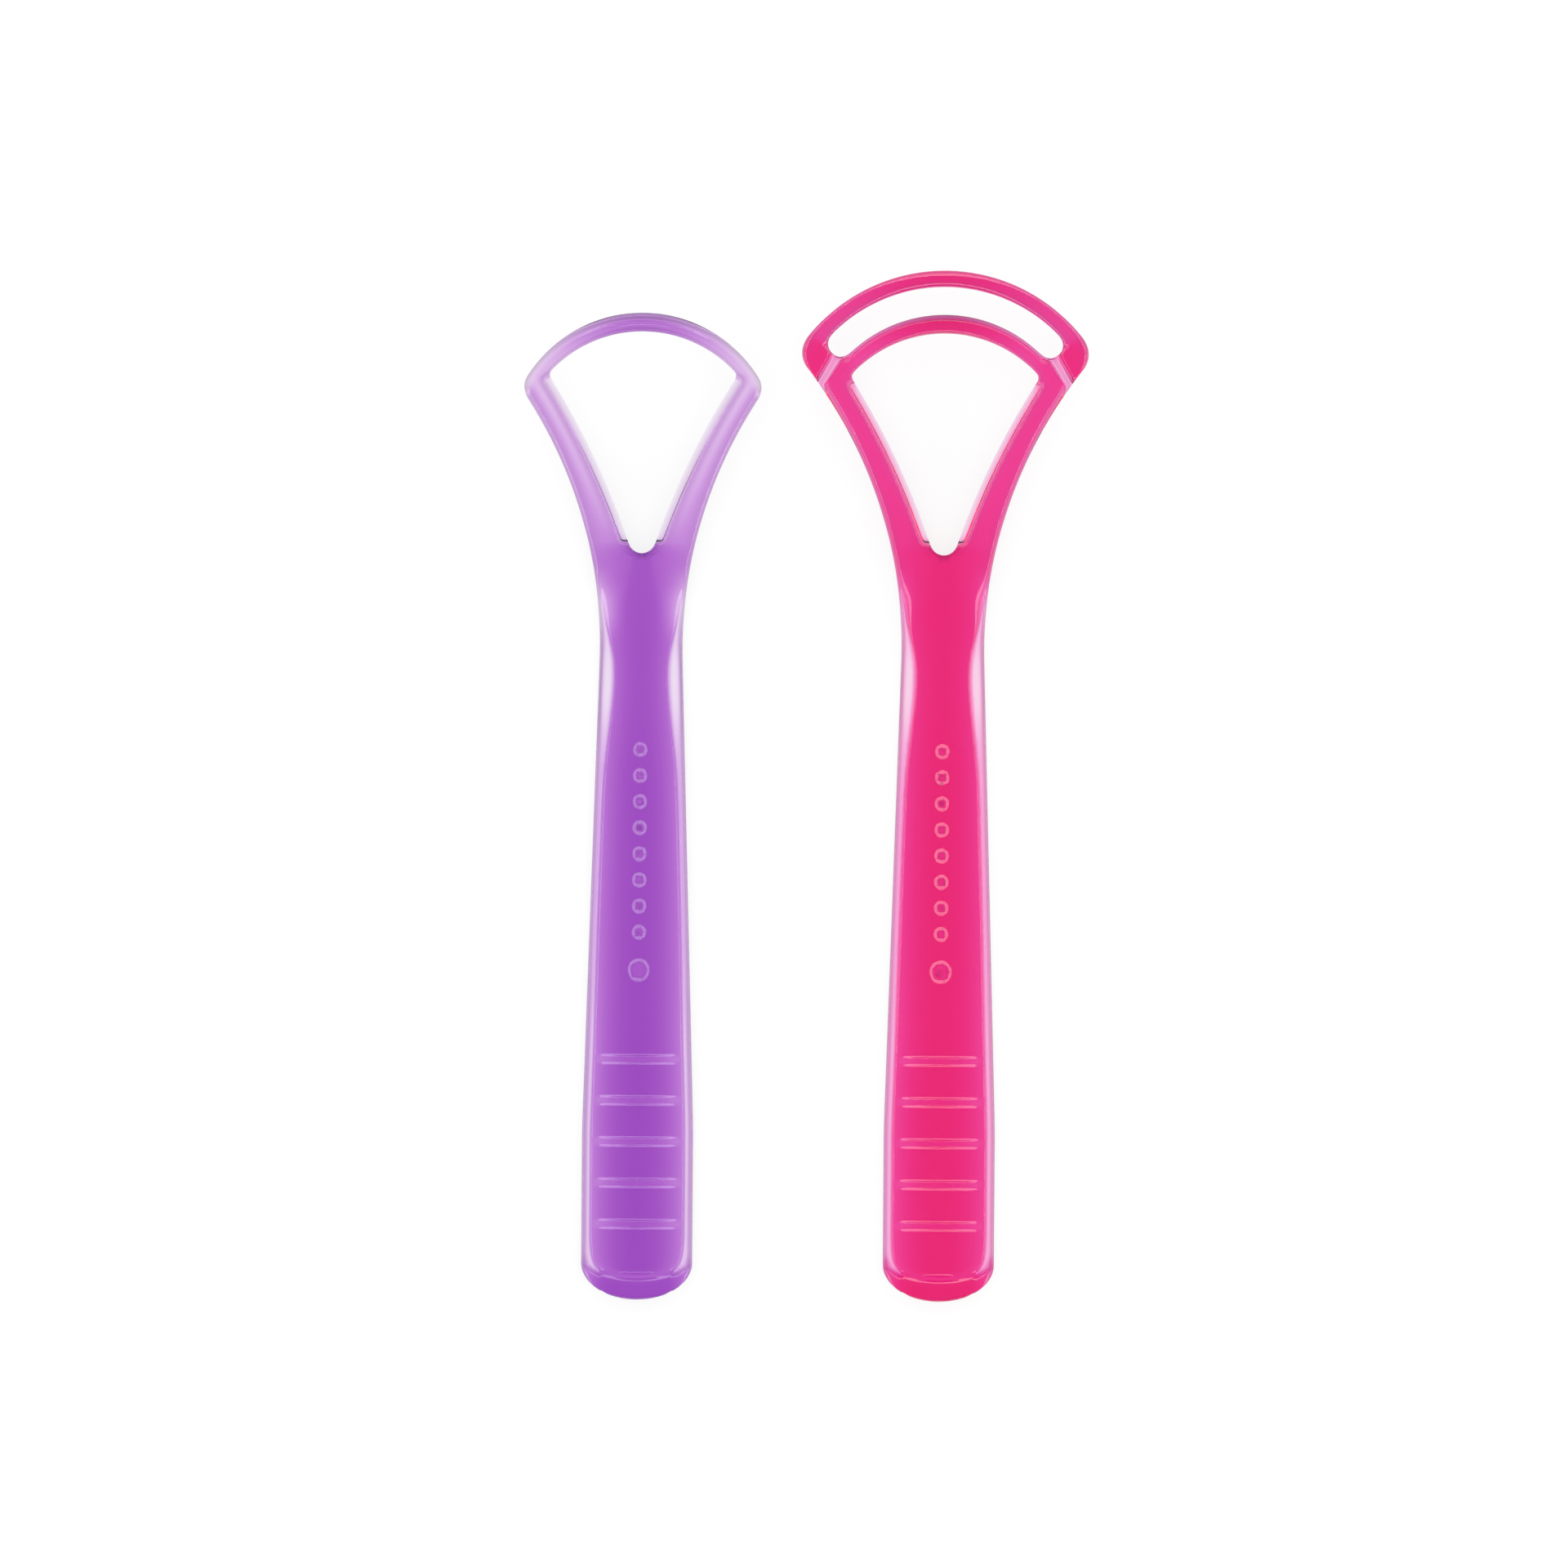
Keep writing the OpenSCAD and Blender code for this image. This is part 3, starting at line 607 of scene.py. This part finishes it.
def outer_blade_rows(p, tops):
    """Rows of the shoulder and the outer blade, up to its crown."""
    rows = []
    start_a = heading(p.outer_corner_c, p.flare_c)
    end_a = heading(p.outer_c, p.outer_corner_c)
    for share, inner in zip(SEAM_SHARES, shoulder_seam(p)):
        outer = on_circle(p.outer_corner_c, p.outer_corner_r, blend(start_a, end_a, share))
        width = (inner - outer).length
        row_tops = tops["edge"] if share == 0 else tops["pad"]
        rows.append(across(outer, inner, edged(width, *PAD_POINTS), row_tops, PAINTED_EDGE_SHADES["pad"]))
    touch_a = heading(p.outer_c, p.gap_end_c)
    outer_touch_a = touch_a + OUTER_GAP_LEAD
    for share in OUTER_GAP_SHARES:
        outer = on_circle(p.outer_c, p.outer_r, blend(end_a, outer_touch_a, share))
        inner = on_circle(p.gap_end_c, p.gap_end_r, blend(GAP_MEET_A, touch_a, share))
        width = (inner - outer).length
        spacing = clamp(SPACING_PACE * share)
        setbacks = mix(edged(width, *PAD_POINTS), spread(width, OUTER_BLADE_SHARES), spacing)
        row_tops = mix(tops["pad"], tops["gap_end"], clamp(THICKNESS_PACE * share))
        rows.append(across(outer, inner, setbacks, row_tops,
                           mix(PAINTED_EDGE_SHADES["pad"], PAINTED_EDGE_SHADES["outer"], spacing)))
    for i in range(1, OUTER_BLADE_STEPS + 1):
        share = i / OUTER_BLADE_STEPS
        outer = on_circle(p.outer_c, p.outer_r, blend(outer_touch_a, 90, share))
        inner = on_circle(p.outer_c, p.outer_inner_r, blend(touch_a, 90, share))
        width = (inner - outer).length
        setbacks = spread(width, OUTER_BLADE_SHARES)
        row_tops = mix(tops["gap_end"], tops["crown"], 1 - bell(share))
        rows.append(across(outer, inner, setbacks, row_tops, PAINTED_EDGE_SHADES["outer"]))
    return rows


# Modelling
# Points closer than this are one point of a cage, or of a finished mesh
WELD = 0.01 * MM
SLIVER = 0.003 * MM
# How far off the mirror's plane a vertex in it may be, in metres
ON_MIRROR = 1e-7
# Lowest and highest part of a side: height, and its largest share of the thickness
EDGE_BAND_H = 0.25
EDGE_BAND_H_SHARE = 0.3
# How far above the last layer a new one starts
LAYER_H = 0.1
# Cylinder that sinks a dot, and how far off its middle the panel's height is taken
CUTTER_H = 1.0
OFF_CENTRE = 0.01
# A height over all the mouldings
ABOVE = 100
SHARP_ANGLE = math.radians(30)


def only(obj):
    """Makes an object the only selected one."""
    bpy.ops.object.select_all(action="DESELECT")
    bpy.context.view_layer.objects.active = obj
    obj.select_set(True)


def move_vert(vert, place):
    """Moves one vertex of the cage to its place."""
    vert.select_set(True)
    bpy.ops.transform.translate(value=place - vert.co)
    vert.select_set(False)


def lay_grid(obj, rows, first_tag):
    """Adds a grid with a tagged vertex for each point of the rows, and lays it in plan."""
    columns = len(rows[0])
    bpy.ops.mesh.primitive_grid_add(x_subdivisions=columns - 1, y_subdivisions=len(rows) - 1,
                                    size=MM)
    bpy.ops.mesh.select_all(action="DESELECT")
    mesh = bmesh.from_edit_mesh(obj.data)
    tags = mesh.verts.layers.int.get("place") or mesh.verts.layers.int.new("place")
    # Painted shade of each point, kept on its vertex so that the material darkens the edges
    painted_edge_shades = mesh.verts.layers.float.get("painted_edge_shade") or mesh.verts.layers.float.new("painted_edge_shade")
    fresh = [v for v in mesh.verts if not v[tags]]
    for i, vert in enumerate(fresh):
        x, y, _, painted_edge_shade = rows[i // columns][i % columns]
        vert[tags] = first_tag + i
        vert[painted_edge_shades] = painted_edge_shade
        move_vert(vert, Vector((x, y, 0)) * MM)


def edge_band(top):
    """Height of the lowest part of a side, and of its highest part."""
    return min(EDGE_BAND_H, EDGE_BAND_H_SHARE * top)


def raise_layer(obj, places, plan, height):
    """Moves the selected layer to heights that follow the thickness at each vertex."""
    mesh = bmesh.from_edit_mesh(obj.data)
    tags = mesh.verts.layers.int["place"]
    verts = [v for v in mesh.verts if v.select]
    bpy.ops.mesh.select_all(action="DESELECT")
    for vert in verts:
        x, y, top, _ = places[vert[tags]]
        lift = plan.lift(y)
        belly = min(BELLY_SHARE * top, lift / 2)
        move_vert(vert, Vector((x, y, lift - belly + height(top))) * MM)
    for vert in verts:
        vert.select_set(True)
    mesh.select_flush(True)
    bmesh.update_edit_mesh(obj.data)


def start_mesh(name):
    """An object with nothing in its mesh yet, in edit mode."""
    bpy.ops.object.select_all(action="DESELECT")
    bpy.ops.mesh.primitive_grid_add(x_subdivisions=1, y_subdivisions=1, size=MM)
    obj = bpy.context.object
    obj.name = obj.data.name = name
    bpy.ops.object.mode_set(mode="EDIT")
    bpy.ops.mesh.select_mode(type="VERT")
    bpy.ops.mesh.select_all(action="SELECT")
    bpy.ops.mesh.delete(type="VERT")
    return obj


def cage(name, grids, plan):
    """The right half of a scraper as a closed cage over one or two grids of rows."""
    obj = start_mesh(name)
    places = {}
    for rows in grids:
        first_tag = len(places) + 1
        lay_grid(obj, rows, first_tag)
        points = (point for row in rows for point in row)
        places.update(enumerate(points, first_tag))
    bpy.ops.mesh.select_all(action="SELECT")
    bpy.ops.mesh.remove_doubles(threshold=WELD)
    bpy.ops.mesh.select_all(action="SELECT")
    raise_layer(obj, places, plan, lambda top: 0.0)
    for height in (edge_band, lambda top: top - edge_band(top), lambda top: top):
        bpy.ops.mesh.extrude_region_move(TRANSFORM_OT_translate={"value": (0, 0, LAYER_H * MM)})
        raise_layer(obj, places, plan, height)
    mesh = bmesh.from_edit_mesh(obj.data)
    bpy.ops.mesh.select_all(action="DESELECT")
    for face in mesh.faces:
        if all(abs(v.co.x) < ON_MIRROR for v in face.verts):
            face.select_set(True)
    bpy.ops.mesh.delete(type="FACE")
    bpy.ops.mesh.select_all(action="SELECT")
    bpy.ops.mesh.normals_make_consistent(inside=False)
    bpy.ops.object.mode_set(mode="OBJECT")
    return obj


def apply_modifier(obj, kind, **settings):
    """Adds a modifier with its settings and applies it."""
    only(obj)
    modifier = obj.modifiers.new(kind, kind)
    for name, value in settings.items():
        setattr(modifier, name, value)
    bpy.ops.object.modifier_apply(modifier=modifier.name)


def finish_moulding(obj, x, y):
    """Mirrors a cage, smooths it and puts it in its place."""
    apply_modifier(obj, "MIRROR", use_axis=(True, False, False), use_clip=True,
                   use_mirror_merge=True, merge_threshold=WELD)
    apply_modifier(obj, "SUBSURF", levels=2, render_levels=2)
    bpy.ops.transform.translate(value=(x, y, 0))
    bpy.ops.object.transform_apply(location=True, rotation=False, scale=False)
    bpy.ops.object.shade_smooth()


def surface_height(obj, x, y):
    """Height of an object's upper face over a point of the floor."""
    hit, place, _, _ = obj.ray_cast(Vector((x, y, ABOVE * MM)), Vector((0, 0, -1)))
    if not hit:
        raise RuntimeError(f"{obj.name} has no surface over {x}, {y}")
    return place.z


def dot_cutter(obj, x, y, radius, depth):
    """A round cutter over a place of the panel, its underside stepped like the dot's wall."""
    bpy.ops.object.select_all(action="DESELECT")
    top = surface_height(obj, x + OFF_CENTRE * MM, y)
    bpy.ops.mesh.primitive_cylinder_add(vertices=DOT_SIDES, radius=radius * MM,
                                        depth=CUTTER_H * MM,
                                        location=(x, y, top + CUTTER_H / 2 * MM),
                                        rotation=(0, 0, math.pi / DOT_SIDES))
    cutter = bpy.context.object
    bpy.ops.object.mode_set(mode="EDIT")
    bpy.ops.mesh.select_mode(type="FACE")
    bpy.ops.mesh.select_all(action="DESELECT")
    mesh = bmesh.from_edit_mesh(cutter.data)
    for face in mesh.faces:
        face.select_set(face.normal.z < -0.9)
    bmesh.update_edit_mesh(cutter.data)
    sunk, reach = 0, radius
    for share, run in DOT_PROFILE:
        bpy.ops.mesh.extrude_region_move(
            TRANSFORM_OT_translate={"value": (0, 0, (sunk - share) * depth * MM)})
        narrower = (radius - run) / reach
        bpy.ops.transform.resize(value=(narrower, narrower, 1))
        sunk, reach = share, radius - run
    bpy.ops.object.mode_set(mode="OBJECT")
    return cutter


def sink_dots(obj, x, tip_y, count, depth):
    """Sinks a column of small dots and one larger dot into the panel."""
    dots = [(DOT_Y + DOT_PITCH * i, DOT_R) for i in range(count)] + [(BIG_DOT_Y, BIG_DOT_R)]
    cutters = [dot_cutter(obj, x, tip_y + y * MM, radius, depth) for y, radius in dots]
    for cutter in cutters:
        cutter.select_set(True)
    bpy.ops.object.join()
    bpy.ops.object.transform_apply(location=True, rotation=True, scale=False)
    joined = bpy.context.object
    apply_modifier(obj, "BOOLEAN", operation="DIFFERENCE", solver="EXACT", object=joined)
    bpy.data.objects.remove(joined)
    only(obj)
    bpy.ops.object.mode_set(mode="EDIT")
    bpy.ops.mesh.select_all(action="SELECT")
    bpy.ops.mesh.remove_doubles(threshold=SLIVER)
    bpy.ops.object.mode_set(mode="OBJECT")
    bpy.ops.object.shade_smooth_by_angle(angle=SHARP_ANGLE)


# Materials
WHITE = (1, 1, 1, 1)
# Handling marks and waves: how many there are to the metre, and how fine their detail is
MARKS = {"Scale": 260, "Detail": 4}
WAVES = {"Scale": 420, "Detail": 2}
# Part of the marks' noise that counts, and the roughness without and with a mark
MARKS_RANGE = {"From Min": 0.35, "From Max": 0.7, "To Min": 0.03}
MARKED_ROUGHNESS = 0.12
# The waves' effect, and their height in metres
WAVE_BUMP = {"Strength": 0.12, "Distance": 0.00004}
PLASTIC_IOR = 1.49
# Sockets of a Mix node that are for colours
MIX_FIRST = 6
MIX_SECOND = 7
MIX_RESULT = 2


def add_node(tree, kind, values):
    """Adds a shader node and sets its inputs by their names."""
    node = tree.nodes.new(kind)
    for name, value in values.items():
        node.inputs[name].default_value = value
    return node


def moulded_surface():
    """Shared group: the waviness, the handling marks, and painted shade that darkens the edges of a
    clear moulding in place of the dark lines that refraction gives there.
    """
    known = bpy.data.node_groups.get("Moulded surface")
    if known:
        return known
    group = bpy.data.node_groups.new("Moulded surface", "ShaderNodeTree")
    for name, direction, kind in (("Painted edge shade", "INPUT", "Color"), ("Marked roughness", "INPUT", "Float"),
                                  ("Colour", "OUTPUT", "Color"), ("Roughness", "OUTPUT", "Float"),
                                  ("Normal", "OUTPUT", "Vector")):
        group.interface.new_socket(name, in_out=direction, socket_type="NodeSocket" + kind)
    given = group.nodes.new("NodeGroupInput")
    out = group.nodes.new("NodeGroupOutput")
    place = group.nodes.new("ShaderNodeTexCoord")
    marks = add_node(group, "ShaderNodeTexNoise", MARKS)
    roughness = add_node(group, "ShaderNodeMapRange", MARKS_RANGE)
    waves = add_node(group, "ShaderNodeTexNoise", WAVES)
    bump = add_node(group, "ShaderNodeBump", WAVE_BUMP)
    # Painted shade: how far each edge darkens, read from the vertices
    painted_edge_shade = group.nodes.new("ShaderNodeAttribute")
    painted_edge_shade.attribute_name = "painted_edge_shade"
    shade = group.nodes.new("ShaderNodeMix")
    shade.data_type = "RGBA"
    shade.inputs[MIX_FIRST].default_value = WHITE
    for source, target in ((painted_edge_shade.outputs["Fac"], shade.inputs["Factor"]),
                           (given.outputs["Painted edge shade"], shade.inputs[MIX_SECOND]),
                           (shade.outputs[MIX_RESULT], out.inputs["Colour"]),
                           (place.outputs["Object"], marks.inputs["Vector"]),
                           (marks.outputs["Fac"], roughness.inputs["Value"]),
                           (given.outputs["Marked roughness"], roughness.inputs["To Max"]),
                           (roughness.outputs["Result"], out.inputs["Roughness"]),
                           (place.outputs["Object"], waves.inputs["Vector"]),
                           (waves.outputs["Fac"], bump.inputs["Height"]),
                           (bump.outputs["Normal"], out.inputs["Normal"])):
        group.links.new(source, target)
    return group


def tinted_plastic(name, colour, density, painted_edge_shade):
    """Clear tinted plastic: the tint is in the depth, so thin places look pale."""
    material = bpy.data.materials.new(name)
    material.use_nodes = True
    tree = material.node_tree
    shader = tree.nodes["Principled BSDF"]
    shader.inputs["IOR"].default_value = PLASTIC_IOR
    shader.inputs["Transmission Weight"].default_value = 1
    surface = tree.nodes.new("ShaderNodeGroup")
    surface.node_tree = moulded_surface()
    # Painted shade: the grey that the edges darken to
    surface.inputs["Painted edge shade"].default_value = (*painted_edge_shade, 1)
    surface.inputs["Marked roughness"].default_value = MARKED_ROUGHNESS
    for output, socket in (("Colour", "Base Color"), ("Roughness", "Roughness"),
                           ("Normal", "Normal")):
        tree.links.new(surface.outputs[output], shader.inputs[socket])
    tint = add_node(tree, "ShaderNodeVolumeAbsorption",
                    {"Color": (*colour, 1), "Density": density})
    tree.links.new(tint.outputs[0], tree.nodes["Material Output"].inputs["Volume"])
    return material


# Stage
# Sizes and places in metres, and the camera's sensor in millimetres
CAMERA_X = -0.00286
CAMERA_Y = 0.000217
CAMERA_REACH = 20
SENSOR_W = 36
FLOOR_SIZE = 6
FLOOR_Z = -0.0002
FLOOR_ROUGHNESS = 0.9
LIGHT_DISTANCE = 1.0
LIGHT_Z = 0.2
LIGHT_L = 2.0
LIGHT_W = 0.36
LIGHT_SIDES = {"left light": (-1, 0), "right light": (1, 0), "head light": (0, 1),
               "foot light": (0, -1)}
# Share of the floor that glows and brightness of the world for these rays: for others, 0 and 1
FLOOR_GLOW = {"Is Camera Ray": 0.8, "Is Glossy Ray": 1, "Is Transmission Ray": 1}
WORLD_LIGHT = {"Is Camera Ray": 1, "Is Glossy Ray": 0.4, "Is Transmission Ray": 0.3}


def weigh_rays(tree, weights, other):
    """A socket with a value for each named kind of ray, and another for all others."""
    path = tree.nodes.new("ShaderNodeLightPath")
    last = None
    for ray, weight in weights.items():
        choice = add_node(tree, "ShaderNodeMix", {"A": other, "B": weight})
        tree.links.new(path.outputs[ray], choice.inputs["Factor"])
        if last:
            tree.links.new(last, choice.inputs["A"])
        last = choice.outputs["Result"]
    return last


def pale_floor(shade):
    """A pale material that mostly glows by itself, so that shadows stay faint."""
    material = bpy.data.materials.new("Pale floor")
    material.use_nodes = True
    tree = material.node_tree
    shader = tree.nodes["Principled BSDF"]
    shader.inputs["Base Color"].default_value = (shade, shade, shade, 1)
    shader.inputs["Roughness"].default_value = FLOOR_ROUGHNESS
    glow = tree.nodes.new("ShaderNodeEmission")
    mixer = tree.nodes.new("ShaderNodeMixShader")
    tree.links.new(weigh_rays(tree, FLOOR_GLOW, 0), mixer.inputs["Fac"])
    tree.links.new(shader.outputs[0], mixer.inputs[1])
    tree.links.new(glow.outputs[0], mixer.inputs[2])
    tree.links.new(mixer.outputs[0], tree.nodes["Material Output"].inputs["Surface"])
    return material


def studio_world():
    """A white world that is darker in reflections and behind clear plastic."""
    world = bpy.data.worlds.new("Studio")
    world.use_nodes = True
    tree = world.node_tree
    background = tree.nodes["Background"]
    background.inputs["Color"].default_value = WHITE
    tree.links.new(weigh_rays(tree, WORLD_LIGHT, 1), background.inputs["Strength"])
    return world


class ScraperSettings(bpy.types.PropertyGroup):
    """Sizes and colours of the two scrapers"""
    single_thickness: bpy.props.FloatProperty(
        name="Single-blade thickness", description="Thickness of the purple grip's middle",
        default=SINGLE_PANEL_SHARE * SINGLE_HIGH.z, min=0.003, max=0.0038,
        unit="LENGTH", subtype="DISTANCE")
    double_thickness: bpy.props.FloatProperty(
        name="Double-blade thickness", description="Thickness of the pink grip's middle",
        default=DOUBLE_PANEL_SHARE * DOUBLE_HIGH.z, min=0.003, max=0.0038,
        unit="LENGTH", subtype="DISTANCE")
    relief_depth: bpy.props.FloatProperty(
        name="Relief depth", description="Depth of the sunk dots and grip grooves",
        default=0.0005, min=0.0002, max=0.0007, unit="LENGTH", subtype="DISTANCE")
    groove_count: bpy.props.IntProperty(
        name="Grip grooves", description="How many grooves cross the grip",
        default=5, min=1, max=5)
    dot_count: bpy.props.IntProperty(
        name="Small dots", description="How many small dots stand in the column",
        default=8, min=1, max=8)
    purple: bpy.props.FloatVectorProperty(
        name="Purple", description="Colour that the purple plastic lets through", subtype="COLOR",
        size=3, default=(0.63, 0.044, 0.79), min=0, max=1)
    purple_density: bpy.props.FloatProperty(
        name="Purple density", description="How strongly the purple plastic tints, per metre",
        default=800, min=0)
    pink: bpy.props.FloatVectorProperty(
        name="Pink", description="Colour that the pink plastic lets through", subtype="COLOR",
        size=3, default=(0.97, 0.057, 0.645), min=0, max=1)
    pink_density: bpy.props.FloatProperty(
        name="Pink density", description="How strongly the pink plastic tints, per metre",
        default=1400, min=0)
    # Painted shade: the grey that edges darken to, in place of the dark lines of refraction
    painted_edge_shade: bpy.props.FloatVectorProperty(
        name="Painted edge shade", description="What the edges let through",
        subtype="COLOR", size=3, default=(0.5, 0.5, 0.52), min=0, max=1)


class StageSettings(bpy.types.PropertyGroup):
    """Camera, lights and floor"""
    camera_distance: bpy.props.FloatProperty(
        name="Camera distance", description="Height of the camera over the floor",
        default=2.5, min=0.5, unit="LENGTH", subtype="DISTANCE")
    frame_width: bpy.props.FloatProperty(
        name="Frame width", description="Width of the floor that the picture shows",
        default=0.2285, min=0.1, unit="LENGTH", subtype="DISTANCE")
    camera_roll: bpy.props.FloatProperty(
        name="Camera roll", description="Turn of the picture",
        default=math.radians(0.43), unit="ROTATION", subtype="ANGLE")
    light_power: bpy.props.FloatProperty(
        name="Light power", description="Power of each of the four low lights",
        default=7, min=0, subtype="POWER")
    floor_shade: bpy.props.FloatProperty(
        name="Floor shade", description="How much light the floor throws back",
        default=0.92, min=0, max=1, subtype="FACTOR")


def thicken(tables, factor):
    """The same tables of thicknesses, made thicker or thinner."""
    return {name: tuple(factor * value for value in values) for name, values in tables.items()}


def build_scraper(name, body, low, high, thickness, handle, tops, arm_end_y, head, outer=None):
    """Models one scraper at its CAD place and ties it to its body."""
    settings = bpy.context.scene.scrapers
    factor = thickness / MM / handle["centre"][0]
    handle, tops = thicken(handle, factor), thicken(tops, factor)
    rows = handle_rows(PLAN, handle, settings.groove_count, settings.relief_depth / MM)
    rows += neck_rows(PLAN, tops, handle) + arm_rows(PLAN, tops, arm_end_y)
    rows += head(PLAN, tops)
    grids = [rows] if outer is None else [rows, outer_blade_rows(PLAN, thicken(outer, factor))]
    obj = cage(name, grids, PLAN)
    middle = (low.x + high.x) / 2
    finish_moulding(obj, middle, low.y)
    sink_dots(obj, middle, low.y, settings.dot_count, settings.relief_depth / MM)
    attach(obj, body)
    return obj


class SCRAPER_OT_single(bpy.types.Operator):
    """Models the purple scraper with one blade"""
    bl_idname = "scraper.single"
    bl_label = "Single-blade scraper"

    def execute(self, context):
        settings = context.scene.scrapers
        obj = build_scraper("single_scraper", SINGLE_BODY, SINGLE_LOW, SINGLE_HIGH,
                            settings.single_thickness, SINGLE_HANDLE, SINGLE_TOPS,
                            SINGLE_ARM_END_Y, single_head_rows)
        obj.data.materials.append(tinted_plastic("Purple plastic", settings.purple,
                                                 settings.purple_density, settings.painted_edge_shade))
        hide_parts("single_handle", "single_yoke", "single_blade")
        return {"FINISHED"}


class SCRAPER_OT_double(bpy.types.Operator):
    """Models the pink scraper with two blades"""
    bl_idname = "scraper.double"
    bl_label = "Double-blade scraper"

    def execute(self, context):
        settings = context.scene.scrapers
        obj = build_scraper("double_scraper", DOUBLE_BODY, DOUBLE_LOW, DOUBLE_HIGH,
                            settings.double_thickness, DOUBLE_HANDLE, DOUBLE_TOPS,
                            DOUBLE_ARM_END_Y, double_head_rows, OUTER_TOPS)
        obj.data.materials.append(tinted_plastic("Pink plastic", settings.pink,
                                                 settings.pink_density, settings.painted_edge_shade))
        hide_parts("double_handle", "double_yoke", "double_inner_blade",
                    "double_shoulders", "double_outer_blade")
        return {"FINISHED"}


class SCRAPER_OT_stage(bpy.types.Operator):
    """Sets up the floor, the lights and the camera"""
    bl_idname = "scraper.stage"
    bl_label = "Studio stage"

    def execute(self, context):
        scene = context.scene
        settings = scene.scraper_stage
        scene.view_settings.view_transform = "Standard"
        bpy.ops.object.select_all(action="DESELECT")
        bpy.ops.object.camera_add(location=(CAMERA_X, CAMERA_Y, settings.camera_distance),
                                  rotation=(0, 0, settings.camera_roll))
        camera = context.object
        camera.name = "camera"
        camera.data.sensor_width = SENSOR_W
        camera.data.lens = SENSOR_W * settings.camera_distance / settings.frame_width
        camera.data.clip_end = CAMERA_REACH
        scene.camera = camera

        bpy.ops.mesh.primitive_plane_add(size=FLOOR_SIZE, location=(0, 0, FLOOR_Z))
        floor = context.object
        floor.name = "floor"
        floor.data.materials.append(pale_floor(settings.floor_shade))

        scene.world = studio_world()
        for name, (side_x, side_y) in LIGHT_SIDES.items():
            place = Vector((side_x * LIGHT_DISTANCE, side_y * LIGHT_DISTANCE, LIGHT_Z))
            bpy.ops.object.light_add(type="AREA", location=place)
            light = context.object
            light.name = name
            light.data.shape = "RECTANGLE"
            light.data.size = LIGHT_L
            light.data.size_y = LIGHT_W
            light.data.energy = settings.light_power
            light.rotation_euler = place.to_track_quat("Z", "Y").to_euler()
        return {"FINISHED"}


class SCRAPER_PT_panel(bpy.types.Panel):
    """Lists the settings and the steps that build the scrapers"""
    bl_idname = "SCRAPER_PT_panel"
    bl_label = "Tongue scrapers"
    bl_space_type = "VIEW_3D"
    bl_region_type = "UI"
    bl_category = "Scrapers"

    def draw(self, context):
        for settings in (context.scene.scrapers, context.scene.scraper_stage):
            column = self.layout.column()
            for name in settings.bl_rna.properties.keys():
                if name not in ("name", "rna_type"):
                    column.prop(settings, name)
        for step in STEPS:
            self.layout.operator(step)


STEPS = ("scraper.stage", "scraper.single", "scraper.double")
CLASSES = (ScraperSettings, StageSettings, SCRAPER_OT_single, SCRAPER_OT_double,
           SCRAPER_OT_stage, SCRAPER_PT_panel)


def register():
    """Adds the classes and their settings to Blender."""
    for cls in CLASSES:
        bpy.utils.register_class(cls)
    bpy.types.Scene.scrapers = bpy.props.PointerProperty(type=ScraperSettings)
    bpy.types.Scene.scraper_stage = bpy.props.PointerProperty(type=StageSettings)


def unregister():
    """Removes them from Blender."""
    del bpy.types.Scene.scraper_stage
    del bpy.types.Scene.scrapers
    for cls in reversed(CLASSES):
        bpy.utils.unregister_class(cls)


def main():
    """Builds the stage and both scrapers."""
    register()
    bpy.ops.scraper.stage()
    bpy.ops.scraper.single()
    bpy.ops.scraper.double()


if __name__ == "__main__":
    main()
